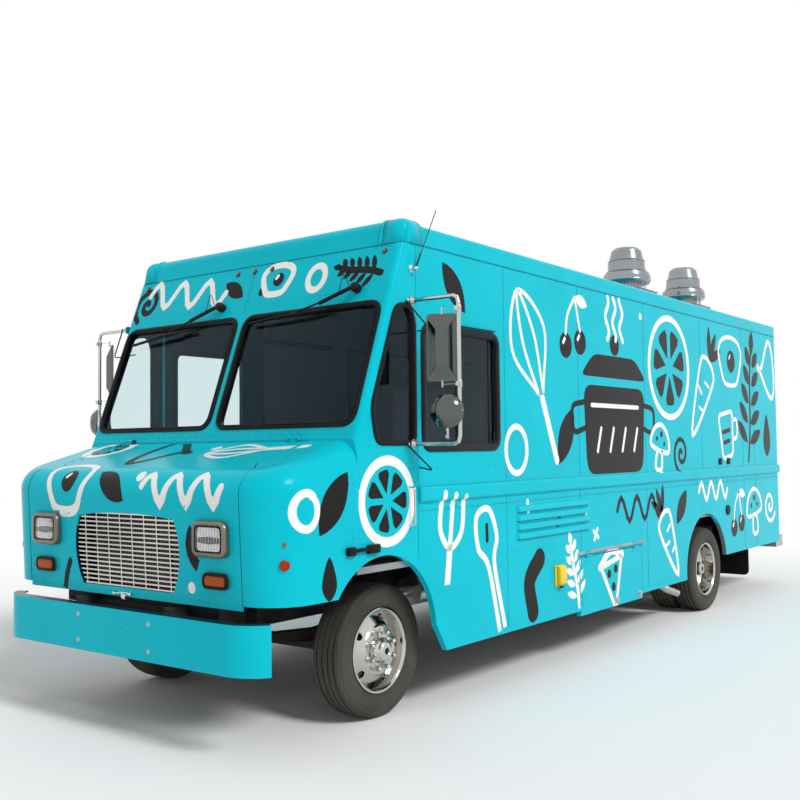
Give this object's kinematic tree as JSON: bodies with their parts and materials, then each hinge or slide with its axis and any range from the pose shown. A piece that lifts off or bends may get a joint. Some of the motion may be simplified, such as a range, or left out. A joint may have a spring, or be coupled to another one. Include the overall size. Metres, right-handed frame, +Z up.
{
  "type": "food truck",
  "caption": "Walk-in step van food truck with a short lifting nose, split windshield, serving hatch and fold-down shelf, roof exhaust fans and dual rear wheels.",
  "frame": {"origin": "on the ground under the middle of the outer box", "axes": "truck faces -Y; +Y towards the rear, +X to the left (driver) side, +Z up"},
  "size_m": [3.2764, 8.72, 3.6449],
  "materials": {
    "frame_paint": "satin",
    "engine_grey": "matte",
    "stainless": "brushed",
    "floor_metal": "matte",
    "body_paint": "gloss",
    "window_glass": "gloss",
    "galvanised": "matte",
    "mirror_tube": "polished",
    "mirror_chrome": "polished",
    "spun_aluminium": "satin",
    "black_rubber": "matte",
    "cab_plastic": "matte",
    "seat_cover": "woven",
    "grille_chrome": "polished",
    "lamp_chrome": "polished",
    "tyre": "matte",
    "wheel_polish": "polished"
  },
  "bodies": {
    "truck": {"chassis_frame": "frame_paint", "axle_beams": "frame_paint", "leaf_springs": "frame_paint", "engine_block": "engine_grey", "exhaust_pipe": "stainless", "body_floor": "floor_metal", "floor_bearers": "frame_paint", "left_wall": "body_paint", "right_wall": "body_paint", "right_skirt": "body_paint", "door_tracks": "stainless", "roof": "body_paint", "rear_wall": "body_paint", "cab_shell": "body_paint", "fenders": "body_paint", "cab_glass": "window_glass", "front_bumper": "body_paint", "rear_bumper": "galvanised", "mirror_arms": "mirror_tube", "mirror_heads": "mirror_chrome", "roof_fans": "spun_aluminium", "mud_flaps": "black_rubber", "cab_interior": "cab_plastic", "driver_seat": "seat_cover", "kitchen_line": "stainless", "range_hood": "stainless", "generator_set": "engine_grey"},
    "hood": {"hood_lid": "body_paint", "grille": "grille_chrome", "front_lamps": "lamp_chrome"},
    "steer_left": {"knuckle_left": "frame_paint"},
    "steer_right": {"knuckle_right": "frame_paint"},
    "wheel_front_left": {"front_tyre_left": "tyre", "front_wheel_left": "wheel_polish"},
    "wheel_front_right": {"front_tyre_right": "tyre", "front_wheel_right": "wheel_polish"},
    "wheels_rear_left": {"rear_tyres_left": "tyre", "rear_wheels_left": "wheel_polish"},
    "wheels_rear_right": {"rear_tyres_right": "tyre", "rear_wheels_right": "wheel_polish"},
    "hand_wheel": {"steering_wheel": "cab_plastic"},
    "entry_door": {"sliding_door": "body_paint", "door_glass": "window_glass"},
    "rear_door_left": {"rear_door_left": "body_paint", "rear_glass_left": "window_glass"},
    "rear_door_right": {"rear_door_right": "body_paint", "rear_glass_right": "window_glass"},
    "hatch": {"serving_hatch": "body_paint"},
    "shelf": {"serving_shelf": "stainless"},
    "generator_flap": {"generator_door": "body_paint"}
  },
  "joints": [
    {"name": "hood_lift", "type": "hinge", "parent": "truck", "child": "hood", "pos_m": [0, -3.634, 1.706], "axis": [-1, 0, 0], "range_deg": [0, 55]},
    {"name": "steer_left_turn", "type": "hinge", "parent": "truck", "child": "steer_left", "pos_m": [0.79, -3.145, 0.4055], "axis": [0, 0, 1], "range_deg": [-28, 28]},
    {"name": "steer_right_turn", "type": "hinge", "parent": "truck", "child": "steer_right", "pos_m": [-0.79, -3.145, 0.4055], "axis": [0, 0, 1], "range_deg": [-28, 28]},
    {"name": "hand_wheel_turn", "type": "hinge", "parent": "truck", "child": "hand_wheel", "pos_m": [0.6, -2.975, 1.695], "axis": [0, 0.512, 0.859], "range_deg": [-462, 462]},
    {"name": "front_left_spin", "type": "hinge", "parent": "steer_left", "child": "wheel_front_left", "pos_m": [0.929, -3.145, 0.4055], "axis": [1, 0, 0], "continuous": true},
    {"name": "front_right_spin", "type": "hinge", "parent": "steer_right", "child": "wheel_front_right", "pos_m": [-0.929, -3.145, 0.4055], "axis": [1, 0, 0], "continuous": true},
    {"name": "rear_left_spin", "type": "hinge", "parent": "truck", "child": "wheels_rear_left", "pos_m": [1.108, 1.832, 0.4055], "axis": [1, 0, 0], "continuous": true},
    {"name": "rear_right_spin", "type": "hinge", "parent": "truck", "child": "wheels_rear_right", "pos_m": [-1.108, 1.832, 0.4055], "axis": [1, 0, 0], "continuous": true},
    {"name": "entry_slide", "type": "slide", "parent": "truck", "child": "entry_door", "axis": [0, 1, 0], "range_m": [0, 0.86]},
    {"name": "rear_left_swing", "type": "hinge", "parent": "truck", "child": "rear_door_left", "pos_m": [0.757, 4.099, 1.6], "axis": [0, 0, -1], "range_deg": [0, 110]},
    {"name": "rear_right_swing", "type": "hinge", "parent": "truck", "child": "rear_door_right", "pos_m": [-0.757, 4.099, 1.6], "axis": [0, 0, 1], "range_deg": [0, 110]},
    {"name": "hatch_lift", "type": "hinge", "parent": "truck", "child": "hatch", "pos_m": [-1.258, 0.405, 2.557], "axis": [0, 1, 0], "range_deg": [0, 95]},
    {"name": "shelf_fold", "type": "hinge", "parent": "truck", "child": "shelf", "pos_m": [-1.291, 0.405, 1.478], "axis": [0, 1, 0], "range_deg": [0, 90]},
    {"name": "generator_flap_lift", "type": "hinge", "parent": "truck", "child": "generator_flap", "pos_m": [1.258, -0.358, 0.777], "axis": [0, -1, 0], "range_deg": [0, 100]}
  ],
  "couplings": [
    {"joint": "steer_right_turn", "follows": "steer_left_turn", "ratio": 1},
    {"joint": "hand_wheel_turn", "follows": "steer_left_turn", "ratio": 16.5}
  ]
}
